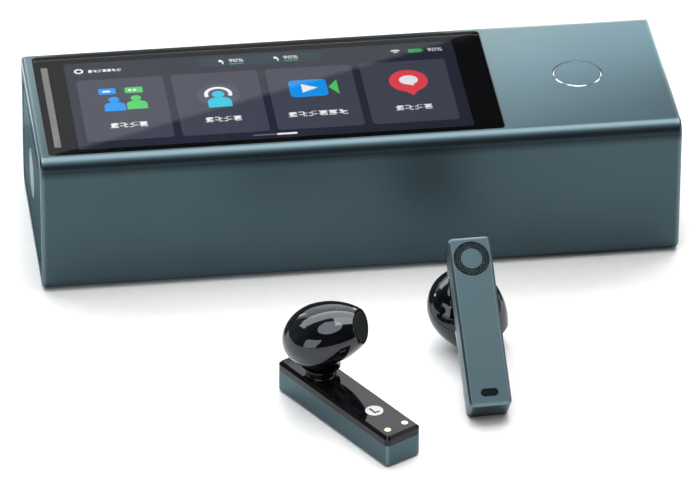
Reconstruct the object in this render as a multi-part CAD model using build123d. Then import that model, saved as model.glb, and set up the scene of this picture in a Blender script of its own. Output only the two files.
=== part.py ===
from build123d import *
import math
import os

# Handheld translator with two earbuds, in millimetres.
# X runs along the case, Y to its back, Z up. The origin is the centre of the case's bottom face.
# The case lies shut, and the earbuds lie in front of it.

# Case
case_length = 118.0
case_depth = 40.4
case_height = 27.6
edge_radius = 2.5
wall = 1.6
rim_bevel = 0.35

# Clearances
slip = 0.05          # running fit of a pin or button in its hole
seat_gap = 0.02      # round a piece that is pressed or bonded in its seat
pocket_gap = 0.12    # round a piece that drops into a pocket
panel_gap = 0.25     # round the end door

# Screen
glass_to_right_end = 32.44
glass_from_side = 2.55
glass_thickness = 0.9
glass_corner = 0.9
glass_from_end = 1.86
ledge = 1.0
panel_margin_left = 3.9
panel_margin_right = 2.5
panel_thickness = 1.5
backplate_thickness = 0.6
light_bar_width = 1.25
light_bar_length = 28.6
light_bar_thickness = 0.6
light_bar_inset = 1.3

# Round button on the top
button_from_right = 16.4
button_radius = 4.25
button_travel = 0.4
ring_width = 0.35
flange_width = 0.9
flange_thickness = 0.6
flange_gap = 0.2
dome_squashed = 1.6
dome_tip_radius = 1.1
ring_fall = 0.19         # from the ring's inner edge down to its outer edge

# Ends
door_back_gap = 0.4
door_opening_side = 3.9     # from the case's front and back to the opening
door_opening_above = 3.6
door_opening_floor = 2.9
door_corner = 3.0
door_bevel = 0.15
door_skin = 1.3
door_wall = 1.2
inner_cover_thickness = 0.8
hinge_pin_radius = 0.6
pin_embed = 1.1
release_radius = 4.75
release_stem_radius = 2.0
release_travel = 0.5
release_end_gap = 0.15
magnet_width = 1.5
magnet_length = 4.0
magnet_spacing = 10.0
magnet_skin = 0.45
cap_depth = 3.8
cap_skin = 1.6
cap_rim = 1.2
mic_y = 11.5
mic_hole_radius = 0.5
mic_thickness = 1.1

# Earbud, in its own frame: X from the head end to the contact end, Y across, Z from the
# aluminium face towards the head
stem_length = 32.1
stem_width = 7.65
stem_thickness = 6.2
shell_height = 4.4
stem_wall = 0.8
stem_corner = 0.9
shell_edge = 0.4
cover_edge = 0.55
cover_thickness = 0.9
neck_x = 8.0
neck_y = 0.0
neck_radius = 2.3
neck_ring_width = 0.4
neck_ring_height = 0.35
wire_hole_radius = 1.0
head_radius = 7.0
head_flatness = 0.77     # the head's thickness as a share of its width
head_back = 0.2          # from the head's centre back to the centre of its round end
head_reach = 7.8         # from the head's centre to the nozzle's face
neck_length = 2.7        # from the stem up to the head's round body
neck_collar = 1.3        # straight part of the neck, below its funnel
funnel_radius = 5.5
head_wall = 0.9
seam_drop = 2.2          # of the seam below the head's centre
seam_gap = 0.1
nozzle_radius = 3.85     # half the width of the nozzle's face
nozzle_edge = 0.45
nozzle_turn = 51.0       # from across the stem towards the contact end
nozzle_lift = 21.0
mesh_thickness = 0.3
mesh_ledge = 0.4
driver_radius = 3.5
driver_thickness = 2.4
driver_seat = 0.8
mic_ring_x = 4.13
mic_ring_radius = 3.27
mic_ring_inner = 2.0
mic_ring_depth = 0.4
mic_slot_from_end = 2.45
mic_slot_length = 3.2
mic_slot_width = 1.5
contact_from_end = 2.3
contact_spacing = 3.8
contact_radius = 0.6
mark_from_end = 8.6
mark_radius = 1.6
mark_depth = 0.15
cell_to_end = 10.5
bud_board_thickness = 0.8

# Where the earbuds lie: the left one on its aluminium face, the right one on its nozzle and foot
left_bud_x = -17.0
left_bud_y = -55.6
left_bud_heading = -59.7
right_foot_x = 15.96
right_foot_y = -70.04
right_bud_heading = -88.43

# Inside the case
bay_wall = 1.0
bay_divider = 1.0
bud_room = 0.3
stem_headroom = 0.4
cradle_floor = 0.15
chassis_floor = 0.8
chassis_wall = 1.0
battery_from_wall = 3.6
battery_corner = 2.5
battery_edge = 1.0
battery_height = 8.2
battery_gap = 0.3
post_radius = 2.0
post_bite = 0.4
post_from_cap = 11.65
board_thickness = 1.0
board_from_cap = 1.4
charging_board_length = 6.4
charging_board_thickness = 0.8
plunger_radius = 0.45
plunger_stand = 0.6
plunger_travel = 0.5
barrel_wall = 0.28
spring_room = 1.4
barrel_lip = 0.3
barrel_recess = 0.2
plunger_head_side = 0.22
plunger_head_height = 1.15
bracket_leg = 2.0
bracket_deck = 0.8
bracket_width = 16.0
usb_width = 8.94
usb_height = 3.2
usb_depth = 7.4
usb_shell = 0.3
tongue_width = 6.3
tongue_thickness = 0.7
speaker_width = 13.0
speaker_height = 7.6
speaker_thickness = 5.4
speaker_half_gap = 2.1
speaker_rim = 1.0
speaker_recess = 0.8
slot_count = 5
slot_width = 1.0
slot_pitch = 2.2
slot_height = 4.6
can_shares = (0.62, 0.38)
can_to_cable = 4.1
can_width = 14.0
can_height = 1.7
can_wall = 0.3
can_from_end = 9.6
can_spacing = 3.0
mic_length = 3.0
mic_width = 3.8
screw_radius = 0.8
screw_head_radius = 1.5
screw_head_height = 0.7
screw_length = 4.0
screw_socket_radius = 0.6
cable_width = 12.0
cable_thickness = 0.2
cable_tab = 1.0


# Places worked out from the sizes
left_end = -case_length / 2
right_end = case_length / 2
glass_x0 = left_end + glass_from_end
glass_x1 = right_end - glass_to_right_end
glass_half = case_depth / 2 - glass_from_side
glass_bottom = case_height - glass_thickness
panel_x0 = glass_x0 + panel_margin_left
panel_x1 = glass_x1 - panel_margin_right
panel_bottom = glass_bottom - panel_thickness
backplate_bottom = panel_bottom - backplate_thickness
window_half = glass_half + pocket_gap - ledge
panel_half = window_half - panel_gap
inner_depth = case_depth - 2 * wall
inner_top = case_height - wall
inner_radius = edge_radius - wall
door_thickness = (door_skin + slip + flange_thickness + release_travel + release_end_gap
                  + inner_cover_thickness)
frame_back = left_end + door_thickness + door_back_gap
cap_front = right_end - cap_depth
cap_inside = right_end - cap_skin
opening_top = case_height - door_opening_above
opening_middle = (door_opening_floor + opening_top) / 2
opening_half = case_depth / 2 - door_opening_side
door_half = opening_half - panel_gap
hinge_radius = door_thickness / 2
hinge_x = left_end + hinge_radius
hinge_y = door_half - hinge_radius
button_x = right_end - button_from_right
ring_outer = button_radius + slip + ring_width
button_bottom = inner_top - flange_gap - flange_thickness
dome_height = dome_squashed + button_travel
deck_top = button_bottom - dome_height
bud_x0 = frame_back - bud_room / 2


def box(x0, x1, y0, y1, z0, z1):
    return Pos((x0 + x1) / 2, (y0 + y1) / 2, (z0 + z1) / 2) * Box(x1 - x0, y1 - y0, z1 - z0)


def slab(x0, x1, y0, y1, z0, z1, radius):
    plan = Pos((x0 + x1) / 2, (y0 + y1) / 2, z0) * RectangleRounded(x1 - x0, y1 - y0, radius)
    return extrude(plan, z1 - z0)


def disc(x, y, z0, z1, radius):
    return Pos(x, y, (z0 + z1) / 2) * Cylinder(radius, z1 - z0)


def rod_x(x0, x1, y, z, radius):
    return Pos((x0 + x1) / 2, y, z) * Rot(0, 90, 0) * Cylinder(radius, x1 - x0)


def bar_x(x0, x1, depth, height, z, radius):
    section = Plane.YZ.offset(x0) * Pos(0, z) * RectangleRounded(depth, height, radius)
    return extrude(section, x1 - x0)


def mirrored(part):
    return mirror(part, about=Plane.XZ)


# Case shell and ends

def door_prism(x0, x1, half, z0, z1, corner):
    # Round corners at the free front edge, square ones at the hinge
    rounded = bar_x(x0, x1, 2 * half, z1 - z0, (z0 + z1) / 2, corner)
    return rounded + box(x0, x1, 0, half, z0, z1)


def make_sleeve():
    sleeve = bar_x(left_end, right_end, case_depth, case_height, case_height / 2, edge_radius)
    ends = sleeve.faces().sort_by(Axis.X)
    sleeve = chamfer(ends[0].edges() + ends[-1].edges(), rim_bevel)
    sleeve -= bar_x(left_end - 1, right_end + 1, inner_depth, case_height - 2 * wall,
                    case_height / 2, inner_radius)
    half = glass_half + pocket_gap
    sleeve -= slab(glass_x0 - pocket_gap, glass_x1 + pocket_gap, -half, half,
                   glass_bottom, case_height + 1, glass_corner + pocket_gap)
    sleeve -= slab(glass_x0 - pocket_gap + ledge, glass_x1 + pocket_gap - ledge,
                   -window_half, window_half, inner_top - 1, case_height, glass_corner)
    sleeve -= disc(button_x, 0, inner_top - 1, case_height + 1, ring_outer + seat_gap)
    return sleeve


def end_plug(x0, x1):
    return bar_x(x0, x1, inner_depth - 2 * seat_gap, case_height - 2 * wall - 2 * seat_gap,
                 case_height / 2, inner_radius - seat_gap)


def magnet_places():
    return [opening_middle - magnet_spacing / 2, opening_middle + magnet_spacing / 2]


def magnet_row(x0, x1, y0, gap=0.0):
    blocks = [box(x0 - gap, x1 + gap, y0 - gap, y0 + magnet_width + gap,
                  z - magnet_length / 2 - gap, z + magnet_length / 2 + gap) for z in magnet_places()]
    return Compound(blocks) if gap == 0 else blocks[0] + blocks[1]


frame_magnet_y = -opening_half - magnet_skin - magnet_width
door_magnet_y = -door_half + door_wall


def make_left_end_frame():
    frame = end_plug(left_end, frame_back)
    frame -= door_prism(left_end - 1, frame_back + 1, opening_half, door_opening_floor,
                        opening_top, door_corner)
    outer_face = frame.faces().sort_by(Axis.X)[0]
    frame = chamfer(outer_face.inner_wires()[0].edges(), door_bevel)
    frame -= disc(hinge_x, hinge_y, door_opening_floor - pin_embed, opening_top + pin_embed,
                  hinge_pin_radius + seat_gap)
    frame -= magnet_row(left_end + door_skin, frame_back + 1, frame_magnet_y, seat_gap)
    return frame


def make_hinge_pin():
    return disc(hinge_x, hinge_y, door_opening_floor - pin_embed, opening_top + pin_embed,
                hinge_pin_radius)


def door_cavity(x0, x1, gap=0.0):
    y0 = -door_half + door_wall + gap
    y1 = hinge_y - hinge_radius - gap
    z0 = door_opening_floor + panel_gap + door_wall + gap
    z1 = opening_top - panel_gap - door_wall - gap
    section = Plane.YZ.offset(x0) * Pos((y0 + y1) / 2, (z0 + z1) / 2)
    return extrude(section * RectangleRounded(y1 - y0, z1 - z0, door_corner / 2), x1 - x0)


def make_end_door():
    inside = left_end + door_thickness
    z0 = door_opening_floor + panel_gap
    z1 = opening_top - panel_gap
    door = door_prism(left_end, inside, door_half, z0, z1, door_corner - panel_gap)
    door = chamfer(door.faces().sort_by(Axis.X)[0].edges(), door_bevel)
    keep = box(left_end, inside, -door_half, hinge_y, z0, z1)
    door &= keep + disc(hinge_x, hinge_y, z0, z1, hinge_radius)
    door -= door_cavity(left_end + door_skin, inside + 1)
    door -= disc(hinge_x, hinge_y, z0 - 1, z1 + 1, hinge_pin_radius + slip)
    door -= rod_x(left_end - 1, inside, 0, opening_middle, release_radius + slip)
    return door


def make_door_inner_cover():
    inside = left_end + door_thickness
    cover = door_cavity(inside - inner_cover_thickness, inside, seat_gap)
    return cover - rod_x(left_end, frame_back, 0, opening_middle, release_stem_radius + slip)


def make_release_button():
    skin = left_end + door_skin
    button = rod_x(left_end, skin + slip, 0, opening_middle, release_radius)
    button = chamfer(button.edges().sort_by(Axis.X)[0], 2 * slip)
    button += rod_x(skin + slip, skin + slip + flange_thickness, 0, opening_middle,
                    release_radius + flange_width)
    # at full travel the stem still stops short of the cradle
    button += rod_x(skin, frame_back - release_travel - release_end_gap, 0, opening_middle,
                    release_stem_radius)
    return button


def make_right_end_cap():
    cap = end_plug(cap_front, right_end)
    rim_depth = inner_depth - 2 * seat_gap - 2 * cap_rim
    rim_height = case_height - 2 * wall - 2 * seat_gap - 2 * cap_rim
    cap -= bar_x(cap_front - 1, cap_inside, rim_depth, rim_height, case_height / 2, cap_rim)
    cap -= bar_x(cap_front, right_end + 1, usb_width + 2 * pocket_gap,
                 usb_height + 2 * pocket_gap, usb_middle, usb_height / 2)
    for i in range(slot_count):
        y = speaker_y + (i - (slot_count - 1) / 2) * slot_pitch
        cap -= Pos(cap_inside, y, speaker_middle) * Rot(0, 90, 0) * extrude(
            SlotOverall(slot_height, slot_width), 2 * cap_skin, both=True)
    for side in (-1, 1):
        cap -= rod_x(cap_front, right_end + 1, side * mic_y, usb_middle, mic_hole_radius)
    return cap


# Screen and button

def make_cover_glass():
    glass = slab(glass_x0, glass_x1, -glass_half, glass_half, glass_bottom, case_height, glass_corner)
    return chamfer(glass.faces().sort_by(Axis.Z)[-1].edges(), pocket_gap)


def make_display_panel():
    return slab(panel_x0, panel_x1, -panel_half, panel_half, panel_bottom, glass_bottom, glass_corner)


def make_display_backplate():
    return slab(panel_x0, panel_x1, -panel_half, panel_half, backplate_bottom, panel_bottom,
                glass_corner)


def make_light_bar():
    x0 = glass_x0 + light_bar_inset
    return box(x0, x0 + light_bar_width, -light_bar_length / 2, light_bar_length / 2,
               glass_bottom - light_bar_thickness, glass_bottom)


def make_button_ring():
    # Its polished top slopes down and outwards
    ring = disc(button_x, 0, inner_top, case_height - ring_fall, ring_outer)
    slope = Cone(ring_outer, button_radius + 2 * slip, ring_fall)
    ring += Pos(button_x, 0, case_height - ring_fall / 2) * slope
    return ring - disc(button_x, 0, inner_top - 1, case_height + 1, button_radius + slip)


def make_main_button():
    button = disc(button_x, 0, button_bottom, case_height, button_radius)
    button = chamfer(button.edges().sort_by(Axis.Z)[-1], 2 * slip)
    return button + disc(button_x, 0, button_bottom, button_bottom + flange_thickness,
                         ring_outer + flange_width)


def make_button_dome():
    return (Pos(button_x, 0, deck_top + dome_height / 2)
            * Cone(2 * dome_tip_radius, dome_tip_radius, dome_height))


def make_switch_bracket():
    half = bracket_width / 2
    bracket = box(button_x - half, button_x + half, -half, half, deck_top - bracket_deck, deck_top)
    for sx in (-1, 1):
        for sy in (-1, 1):
            x = button_x + sx * (half - bracket_leg / 2)
            y = sy * (half - bracket_leg / 2)
            bracket += box(x - bracket_leg / 2, x + bracket_leg / 2, y - bracket_leg / 2,
                           y + bracket_leg / 2, board_top, deck_top)
    return bracket


# Inside the case

cradle_bottom = wall + cradle_floor
bud_floor = door_opening_floor
slot_roof = bud_floor + stem_thickness + stem_headroom
tunnel_top = slot_roof + bay_wall
nozzle_turn_rad = math.radians(nozzle_turn)
nozzle_lift_rad = math.radians(nozzle_lift)
nozzle_u = math.cos(nozzle_lift_rad) * math.sin(nozzle_turn_rad)
nozzle_v = math.cos(nozzle_lift_rad) * math.cos(nozzle_turn_rad)
nozzle_w = math.sin(nozzle_lift_rad)
stem_y = opening_half - bud_room - (head_radius + head_back * nozzle_v - neck_y)
head_pocket_x1 = bud_x0 + neck_x + head_reach * nozzle_u + nozzle_radius + bud_room
slot_end = bud_x0 + stem_length + bud_room
cradle_back = slot_end + bay_wall
pin_x = bud_x0 + stem_length - contact_from_end
pin_places = [(side, n, side * stem_y + n * contact_spacing / 2) for side in (-1, 1) for n in (-1, 1)]
plunger_head_radius = plunger_radius + plunger_head_side
barrel_bore = plunger_head_radius + slip
barrel_radius = barrel_bore + barrel_wall
barrel_bottom = slot_roof + barrel_recess
lip_top = barrel_bottom + barrel_lip
barrel_roof = lip_top + slip + plunger_head_height + plunger_travel + spring_room
chassis_x0 = cradle_back + bud_room
chassis_x1 = cap_inside - speaker_thickness - bud_room
chassis_bottom = wall + slip
battery_bottom = chassis_bottom + chassis_floor
board_bottom = battery_bottom + battery_height + battery_gap
board_top = board_bottom + board_thickness
board_half = inner_depth / 2 - bud_room
post_x0 = chassis_x0 + chassis_wall + post_radius - post_bite
battery_x0 = post_x0 + post_radius + battery_gap
post_x1 = cap_front - post_from_cap
battery_x1 = post_x1 - post_radius - battery_gap
battery_half = inner_depth / 2 - battery_from_wall
post_y = inner_depth / 2 - chassis_wall - slip - post_radius + post_bite
usb_middle = board_top + usb_height / 2
usb_mouth = right_end - usb_shell
speaker_y = speaker_half_gap - inner_depth / 2 + speaker_width / 2
speaker_bottom = wall + cap_rim + bud_room
speaker_middle = speaker_bottom + speaker_height / 2


def make_earbud_cradle():
    half = inner_depth / 2 - bud_room
    side = stem_y + stem_width / 2 + bud_room
    cradle = bar_x(frame_back, head_pocket_x1 + bay_wall, 2 * half, backplate_bottom - cradle_bottom,
                   (backplate_bottom + cradle_bottom) / 2, inner_radius)
    cradle += box(head_pocket_x1, cradle_back, -side - bay_wall, side + bay_wall, cradle_bottom,
                  tunnel_top)
    bay_top = opening_top
    for sign in (-1, 1):
        middle = sign * (bay_divider / 2 + opening_half) / 2
        reach = (opening_half - bay_divider / 2) / 2
        cradle -= box(frame_back - 1, head_pocket_x1, middle - reach, middle + reach, bud_floor, bay_top)
        y = sign * stem_y
        reach = stem_width / 2 + bud_room
        cradle -= box(frame_back - 1, slot_end, y - reach, y + reach, bud_floor, slot_roof)
    for _, _, y in pin_places:
        cradle -= disc(pin_x, y, slot_roof - 1, tunnel_top + 1, barrel_radius + seat_gap)
    return cradle


def make_charging_board():
    half = stem_y + contact_spacing / 2 + 2 * barrel_radius
    board = slab(pin_x - charging_board_length / 2, pin_x + charging_board_length / 2, -half, half,
                 tunnel_top, tunnel_top + charging_board_thickness, barrel_wall)
    for _, _, y in pin_places:
        board -= disc(pin_x, y, tunnel_top - 1, tunnel_top + 2, barrel_radius + seat_gap)
    return board


def make_pin_barrel(y):
    barrel = disc(pin_x, y, barrel_bottom, barrel_roof + barrel_lip, barrel_radius)
    barrel -= disc(pin_x, y, lip_top, barrel_roof, barrel_bore)
    return barrel - disc(pin_x, y, barrel_bottom - 1, lip_top + 1, plunger_radius + slip)


def make_plunger(y):
    tip = slot_roof - plunger_stand
    plunger = disc(pin_x, y, tip, lip_top + slip, plunger_radius)
    plunger = chamfer(plunger.edges().sort_by(Axis.Z)[0], 3 * slip)
    return plunger + disc(pin_x, y, lip_top + slip, lip_top + slip + plunger_head_height,
                          plunger_head_radius)


def make_inner_chassis():
    chassis = bar_x(chassis_x0, chassis_x1, inner_depth - 2 * slip, case_height - 2 * wall - 2 * slip,
                    case_height / 2, inner_radius)
    chassis &= box(chassis_x0, chassis_x1, -case_depth, case_depth, 0, board_bottom)
    half = inner_depth / 2 - slip - chassis_wall
    chassis -= box(chassis_x0 + chassis_wall, chassis_x1 - chassis_wall, -half, half,
                   battery_bottom, board_top)
    for x, y in post_places():
        chassis += disc(x, y, battery_bottom - slip, board_bottom, post_radius)
    for x, y in post_places():
        chassis -= disc(x, y, board_bottom - screw_length, board_top, screw_radius + seat_gap)
    return chassis


def post_places():
    return [(x, y) for x in (post_x0, post_x1) for y in (-post_y, post_y)]


def make_battery():
    battery = slab(battery_x0, battery_x1, -battery_half, battery_half,
                   battery_bottom, battery_bottom + battery_height, battery_corner)
    return fillet(battery.faces().sort_by(Axis.Z)[-1].edges(), battery_edge)


def make_main_board():
    board = slab(chassis_x0 + bud_room, cap_front - board_from_cap, -board_half, board_half,
                 board_bottom, board_top, board_thickness)
    for x, y in post_places():
        board -= disc(x, y, board_bottom - 1, board_top + 1, screw_radius + slip)
    return board


def make_board_screws():
    screws = []
    for x, y in post_places():
        screw = disc(x, y, board_top, board_top + screw_head_height, screw_head_radius)
        screw += disc(x, y, board_bottom - screw_length + slip, board_top, screw_radius)
        screws.append(screw - disc(x, y, board_top + screw_head_height / 2, board_top + 2,
                                   screw_socket_radius))
    return Compound(screws)


def make_shield_cans():
    cans = []
    half = can_width / 2
    inner = half - can_wall
    x0 = chassis_x0 + can_from_end
    room = panel_x1 - can_to_cable - can_spacing - x0
    for length in [share * room for share in can_shares]:
        can = box(x0, x0 + length, -half, half, board_top, board_top + can_height)
        cans.append(can - box(x0 + can_wall, x0 + length - can_wall, -inner, inner,
                              board_bottom, board_top + can_height - can_wall))
        x0 += length + can_spacing
    return Compound(cans)


def make_microphones():
    x1 = cap_front - board_from_cap - bud_room
    half = mic_width / 2
    return Compound([box(x1 - mic_length, x1, s * mic_y - half, s * mic_y + half, board_top,
                         board_top + mic_thickness) for s in (-1, 1)])


def make_display_cable():
    x0 = panel_x1
    x1 = x0 + cable_tab
    tab = panel_bottom + panel_thickness / 2
    half = cable_width / 2
    cable = box(x0, x1 + cable_thickness, -half, half, tab, tab + cable_thickness)
    cable += box(x1, x1 + cable_thickness, -half, half, board_top, tab)
    return cable + box(x1, x1 + cable_width / 2, -half, half, board_top, board_top + cable_thickness)


def make_usb_socket():
    x0 = usb_mouth - usb_depth
    shell = bar_x(x0, usb_mouth, usb_width, usb_height, usb_middle, usb_height / 2 - usb_shell)
    inner_width = usb_width - 2 * usb_shell
    inner_height = usb_height - 2 * usb_shell
    shell -= bar_x(x0 + tongue_thickness, right_end + 1, inner_width, inner_height, usb_middle,
                   inner_height / 2 - usb_shell)
    half = tongue_width / 2
    return shell + box(x0, usb_mouth - tongue_thickness, -half, half,
                       usb_middle - tongue_thickness / 2, usb_middle + tongue_thickness / 2)


def make_speaker():
    half = speaker_width / 2
    speaker = box(cap_inside - speaker_thickness, cap_inside, speaker_y - half, speaker_y + half,
                  speaker_bottom, speaker_bottom + speaker_height)
    speaker = fillet(speaker.edges().filter_by(Axis.X), speaker_rim)
    front = Plane.YZ.offset(cap_inside - speaker_recess) * Pos(speaker_y, speaker_middle)
    front *= RectangleRounded(speaker_width - 2 * speaker_rim, speaker_height - 2 * speaker_rim,
                              speaker_rim)
    return speaker - extrude(front, 2 * speaker_recess)


# Earbud pieces, left hand, in the earbud's own frame

stem_front = stem_length - cover_edge
head_height = stem_thickness + neck_length + head_flatness * head_radius
contact_x = stem_length - contact_from_end
mark_x = stem_length - mark_from_end
mic_slot_x = stem_length - mic_slot_from_end
seam_height = head_height - seam_drop
head_place = (Pos(neck_x, neck_y, head_height) * Rot(0, 0, 90 - nozzle_turn)
              * Rot(0, -nozzle_lift, 0))
taper_end = 2 * math.atan2(head_radius - nozzle_radius, head_reach + head_back)
rim_circle = nozzle_radius - nozzle_edge * (1 - math.sin(taper_end)) / math.cos(taper_end)
mesh_radius = nozzle_radius - nozzle_edge - slip


def stem_plan(z0, z1, inset=0.0):
    return slab(inset, stem_length - inset, -stem_width / 2 + inset, stem_width / 2 - inset,
                z0, z1, stem_corner - inset / 2)


def along_nozzle(s0, s1, radius):
    # As flat as the head
    section = Ellipse(head_flatness * radius, radius)
    return head_place * Pos(s0, 0, 0) * Rot(0, 90, 0) * extrude(section, s1 - s0)


def head_solid(inset):
    # A round end and a taper to the nozzle's face, turned about the nozzle's axis and flattened
    radius = head_radius - inset
    middle = -head_back
    face = head_reach - inset
    rim = nozzle_radius - inset
    slant = radius * math.sqrt(0.5)
    back = ThreePointArc((middle - radius, 0), (middle - slant, slant), (middle, radius))
    taper = TangentArc((middle, radius), (face, rim), tangent=(1, 0))
    front = Line((face, rim), (face, 0))
    axis = Line((face, 0), (middle - radius, 0))
    head = revolve(make_face([back, taper, front, axis]), Axis.X)
    if inset == 0:
        rim_edge = head.faces().sort_by(Axis.X)[-1].edges()
        head = fillet(rim_edge, nozzle_edge)
    return head_place * scale(head, by=(1, 1, head_flatness))


def hollow_head():
    funnel_bottom = stem_thickness + neck_collar
    funnel = Cone(neck_radius, funnel_radius, seam_height - funnel_bottom)
    head = head_solid(0) + disc(neck_x, neck_y, stem_thickness, head_height, neck_radius)
    head += Pos(neck_x, neck_y, (seam_height + funnel_bottom) / 2) * funnel
    head -= head_solid(head_wall)
    head -= disc(neck_x, neck_y, stem_thickness - 1, head_height, wire_hole_radius)
    head -= along_nozzle(0, head_reach + 1, mesh_radius - mesh_ledge)
    return head - along_nozzle(head_reach - mesh_thickness, head_reach + 1, mesh_radius + seat_gap)


def head_slice(z0, z1):
    reach = 2 * (head_back + head_reach)
    return box(neck_x - reach, neck_x + reach, neck_y - reach, neck_y + reach, z0, z1)


def make_head_shell():
    return hollow_head() & head_slice(seam_height + seam_gap / 2, head_height + 2 * head_radius)


def make_head_base():
    return hollow_head() & head_slice(0, seam_height - seam_gap / 2)


def make_stem_shell():
    shell = stem_plan(0, shell_height)
    shell = chamfer(shell.faces().sort_by(Axis.Z)[0].edges(), shell_edge)
    shell -= stem_plan(stem_wall, shell_height + 1, stem_wall)
    shell -= (disc(mic_ring_x, 0, -1, mic_ring_depth, mic_ring_radius)
              - disc(mic_ring_x, 0, -2, 1, mic_ring_inner))
    return shell - mic_slot(0, mic_ring_depth + slip)


def mic_slot(z0, z1, gap=0.0):
    plan = SlotOverall(mic_slot_length + 2 * gap, mic_slot_width + 2 * gap)
    return Pos(mic_slot_x, 0, z0) * Rot(0, 0, 90) * extrude(plan, z1 - z0)


def make_stem_cover():
    cover = stem_plan(shell_height, stem_thickness)
    cover = chamfer(cover.faces().sort_by(Axis.Z)[-1].edges(), cover_edge)
    cover -= stem_plan(shell_height - 1, stem_thickness - cover_thickness, stem_wall)
    cover -= disc(neck_x, neck_y, 0, stem_thickness + 1, wire_hole_radius)
    cover -= disc(mark_x, 0, stem_thickness - mark_depth, stem_thickness + 1, mark_radius + seat_gap)
    for s in (-1, 1):
        cover -= disc(contact_x, s * contact_spacing / 2, 0, stem_thickness + 1,
                      contact_radius + seat_gap)
    return cover


cell_top = shell_height - bud_board_thickness
cell_half = stem_width / 2 - stem_wall - bud_room


def make_bud_cell():
    return slab(2 * stem_wall, stem_length - cell_to_end, -cell_half, cell_half,
                stem_wall, cell_top, stem_wall)


def make_bud_board():
    return box(2 * stem_wall, stem_length - stem_wall - bud_room, -cell_half, cell_half,
               cell_top, shell_height)


def make_charge_contacts():
    return Compound([disc(contact_x, s * contact_spacing / 2, shell_height, stem_thickness,
                          contact_radius) for s in (-1, 1)])


def make_neck_ring():
    ring = disc(neck_x, neck_y, stem_thickness, stem_thickness + neck_ring_height,
                neck_radius + neck_ring_width)
    return ring - disc(neck_x, neck_y, stem_thickness - 1, stem_thickness + 1, neck_radius + seat_gap)


def make_ring_mesh():
    ring = disc(mic_ring_x, 0, slip, mic_ring_depth, mic_ring_radius - seat_gap)
    return ring - disc(mic_ring_x, 0, -1, 1, mic_ring_inner + seat_gap)


def make_driver():
    return (head_place * Pos(driver_seat + driver_thickness / 2, 0, 0) * Rot(0, 90, 0)
            * Cylinder(driver_radius, driver_thickness))


def earbud_pieces():
    return {
        "stem_shell": make_stem_shell(),
        "stem_cover": make_stem_cover(),
        "head_base": make_head_base(),
        "head_shell": make_head_shell(),
        "neck_ring": make_neck_ring(),
        "nozzle_mesh": along_nozzle(head_reach - mesh_thickness, head_reach, mesh_radius),
        "mic_ring_mesh": make_ring_mesh(),
        "mic_window": mic_slot(2 * slip, mic_ring_depth + slip, -seat_gap),
        "charge_contacts": make_charge_contacts(),
        "side_mark": disc(mark_x, 0, stem_thickness - mark_depth, stem_thickness, mark_radius),
        "cell": make_bud_cell(),
        "board": make_bud_board(),
        "driver": make_driver(),
    }


def lowest_head_point(tilt):
    # Height of the head's lowest point while the foot of the stem stands on the ground.
    # The ground's direction is split along the nozzle, to its side and through the flattened head.
    along = nozzle_u * math.sin(tilt) + nozzle_w * math.cos(tilt)
    sideways = math.cos(nozzle_turn_rad) * math.sin(tilt)
    through = (math.cos(nozzle_lift_rad) * math.cos(tilt)
               - math.sin(nozzle_lift_rad) * math.sin(nozzle_turn_rad) * math.sin(tilt))
    across = math.hypot(sideways, head_flatness * through)
    whole = math.hypot(along, across)
    rim = (head_reach - nozzle_edge) * along + rim_circle * across + nozzle_edge * whole
    round_end = head_radius * whole - head_back * along
    centre = (stem_front - neck_x) * math.sin(tilt) - (head_height - stem_thickness) * math.cos(tilt)
    return centre - max(rim, round_end)


def resting_tilt():
    low = 0.0
    high = math.pi / 3
    for _ in range(40):
        middle = (low + high) / 2
        if lowest_head_point(middle) < 0:
            low = middle
        else:
            high = middle
    return high


def right_bud_place():
    tilt = resting_tilt()
    heading = math.radians(right_bud_heading)
    reach = stem_front * math.cos(tilt) - stem_thickness * math.sin(tilt)
    x = right_foot_x - reach * math.cos(heading)
    y = right_foot_y - reach * math.sin(heading)
    z = stem_front * math.sin(tilt) + stem_thickness * math.cos(tilt)
    return (Pos(x, y, z) * Rot(0, 0, right_bud_heading) * Rot(0, math.degrees(tilt), 0)
            * Rot(180, 0, 0))


def all_pieces():
    pieces = {
        "sleeve": make_sleeve(),
        "left_end_frame": make_left_end_frame(),
        "right_end_cap": make_right_end_cap(),
        "cover_glass": make_cover_glass(),
        "display_panel": make_display_panel(),
        "display_backplate": make_display_backplate(),
        "light_bar": make_light_bar(),
        "button_ring": make_button_ring(),
        "main_button": make_main_button(),
        "button_dome": make_button_dome(),
        "switch_bracket": make_switch_bracket(),
        "main_board": make_main_board(),
        "shield_cans": make_shield_cans(),
        "microphones": make_microphones(),
        "display_cable": make_display_cable(),
        "battery": make_battery(),
        "inner_chassis": make_inner_chassis(),
        "board_screws": make_board_screws(),
        "speaker": make_speaker(),
        "usb_socket": make_usb_socket(),
        "earbud_cradle": make_earbud_cradle(),
        "charging_board": make_charging_board(),
        "pin_barrels": Compound([make_pin_barrel(y) for _, _, y in pin_places]),
        "hinge_pin": make_hinge_pin(),
        "frame_magnets": magnet_row(left_end + door_skin, frame_back, frame_magnet_y),
        "end_door": make_end_door(),
        "door_inner_cover": make_door_inner_cover(),
        "door_magnets": magnet_row(left_end + door_skin,
                                   left_end + door_thickness - inner_cover_thickness, door_magnet_y),
        "release_button": make_release_button(),
    }
    for bay, (_, _, y) in enumerate(pin_places, 1):
        pieces[f"charging_pin_{bay}"] = make_plunger(y)
    left = Pos(left_bud_x, left_bud_y, 0) * Rot(0, 0, left_bud_heading)
    right = right_bud_place()
    for name, piece in earbud_pieces().items():
        pieces["left_bud_" + name] = left * piece
        pieces["right_bud_" + name] = right * mirrored(piece)
    return pieces


def main():
    os.makedirs("parts", exist_ok=True)
    for name, piece in all_pieces().items():
        export_step(piece, f"parts/{name}.step")


main()
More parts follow.
